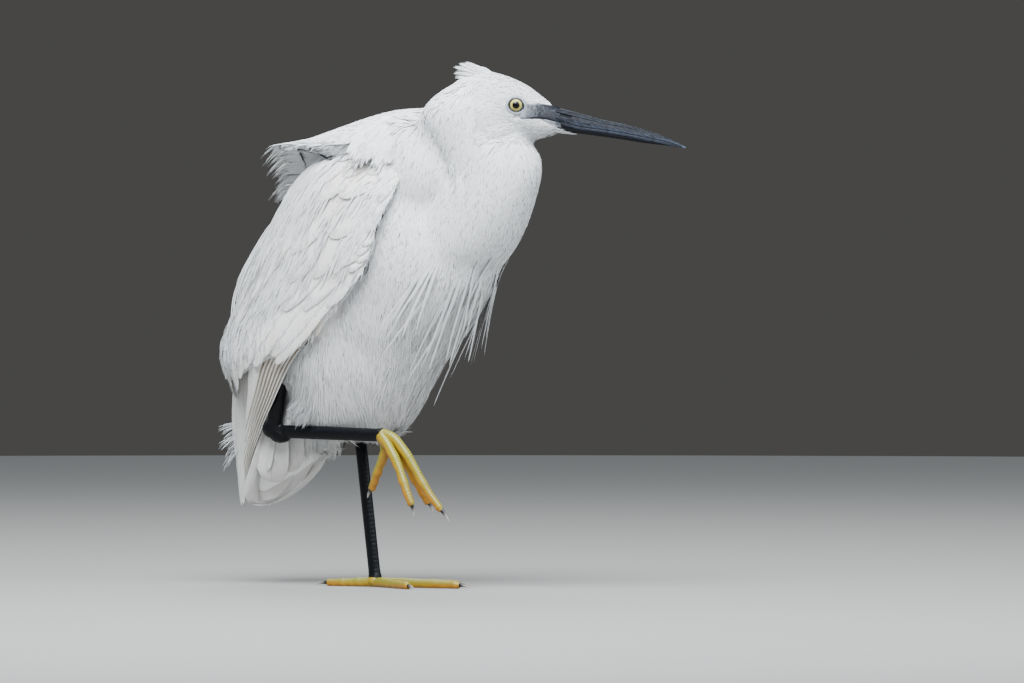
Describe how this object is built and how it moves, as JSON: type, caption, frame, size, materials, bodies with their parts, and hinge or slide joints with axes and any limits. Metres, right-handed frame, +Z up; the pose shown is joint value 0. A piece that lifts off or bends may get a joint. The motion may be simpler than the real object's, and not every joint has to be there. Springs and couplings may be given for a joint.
{
  "type": "little egret",
  "caption": "Slender white wading bird at rest, neck drawn in, a leg raised, with a long pointed bill and loose breast plumes.",
  "frame": {"origin": "on the flat sole of the standing left foot, just before the joint where its toes meet, at floor level", "axes": "+Z up from the floor, +X the way the body faces, +Y the bird's left"},
  "size_m": [0.3009, 0.1239, 0.3272],
  "materials": {
    "feather": "matte",
    "eye": "gloss",
    "bill": "satin",
    "leg": "satin",
    "foot": "satin",
    "claw": "satin"
  },
  "bodies": {
    "root": {"torso": "feather", "neck": "feather", "head": "feather", "mantle": "feather", "wing_right": "feather", "wing_left": "feather", "tail": "feather", "thigh_right": "feather", "eye_right": "eye", "eye_left": "eye", "bill_upper": "bill", "bill_lower": "bill", "shank_right": "leg", "tarsus_right": "leg", "tarsus_left": "leg", "foot_right": "foot", "foot_left": "foot", "claw_right_outer": "claw", "claw_right_middle": "claw", "claw_right_inner": "claw", "claw_right_hind": "claw", "claw_left_outer": "claw", "claw_left_middle": "claw", "claw_left_inner": "claw", "claw_left_hind": "claw"}
  },
  "joints": []
}
